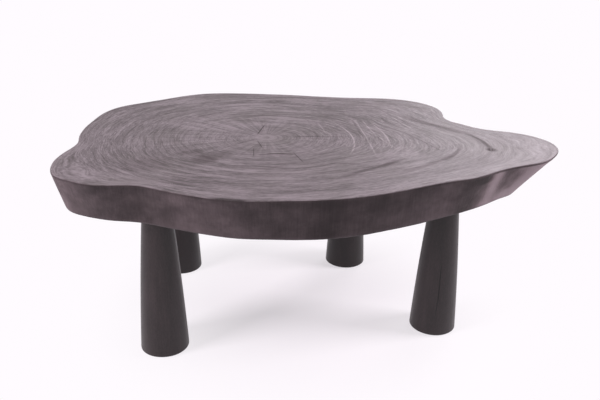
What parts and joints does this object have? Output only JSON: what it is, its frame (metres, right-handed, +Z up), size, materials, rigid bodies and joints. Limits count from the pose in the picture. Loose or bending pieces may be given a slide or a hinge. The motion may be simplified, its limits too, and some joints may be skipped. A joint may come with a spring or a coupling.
{
  "type": "live edge coffee table",
  "caption": "Low table: a dark-stained cross-cut trunk slab with a natural live edge and a pointed beak, on turned legs that widen to the foot and screw into its underside.",
  "frame": {"origin": "on the floor, under the middle of the slab's box", "axes": "+X along the slab towards its beak, +Y towards the back, +Z up"},
  "size_m": [1.0301, 0.7465, 0.42],
  "materials": {
    "slab_wood": "charcoal stain, dull satin",
    "leg_wood": "charcoal stain, satin",
    "bolt_steel": "zinc plated",
    "insert_metal": "die-cast zinc",
    "glide_plastic": "moulded nylon",
    "screw_steel": "zinc plated"
  },
  "bodies": {
    "root": {"slab_top": "slab_wood", "leg_front_left": "leg_wood", "hanger_bolt_front_left": "bolt_steel", "threaded_insert_front_left": "insert_metal", "foot_glide_front_left": "glide_plastic", "glide_screw_front_left": "screw_steel", "leg_front_right": "leg_wood", "hanger_bolt_front_right": "bolt_steel", "threaded_insert_front_right": "insert_metal", "foot_glide_front_right": "glide_plastic", "glide_screw_front_right": "screw_steel", "leg_rear_right": "leg_wood", "hanger_bolt_rear_right": "bolt_steel", "threaded_insert_rear_right": "insert_metal", "foot_glide_rear_right": "glide_plastic", "glide_screw_rear_right": "screw_steel", "leg_rear_left": "leg_wood", "hanger_bolt_rear_left": "bolt_steel", "threaded_insert_rear_left": "insert_metal", "foot_glide_rear_left": "glide_plastic", "glide_screw_rear_left": "screw_steel"}
  },
  "joints": []
}
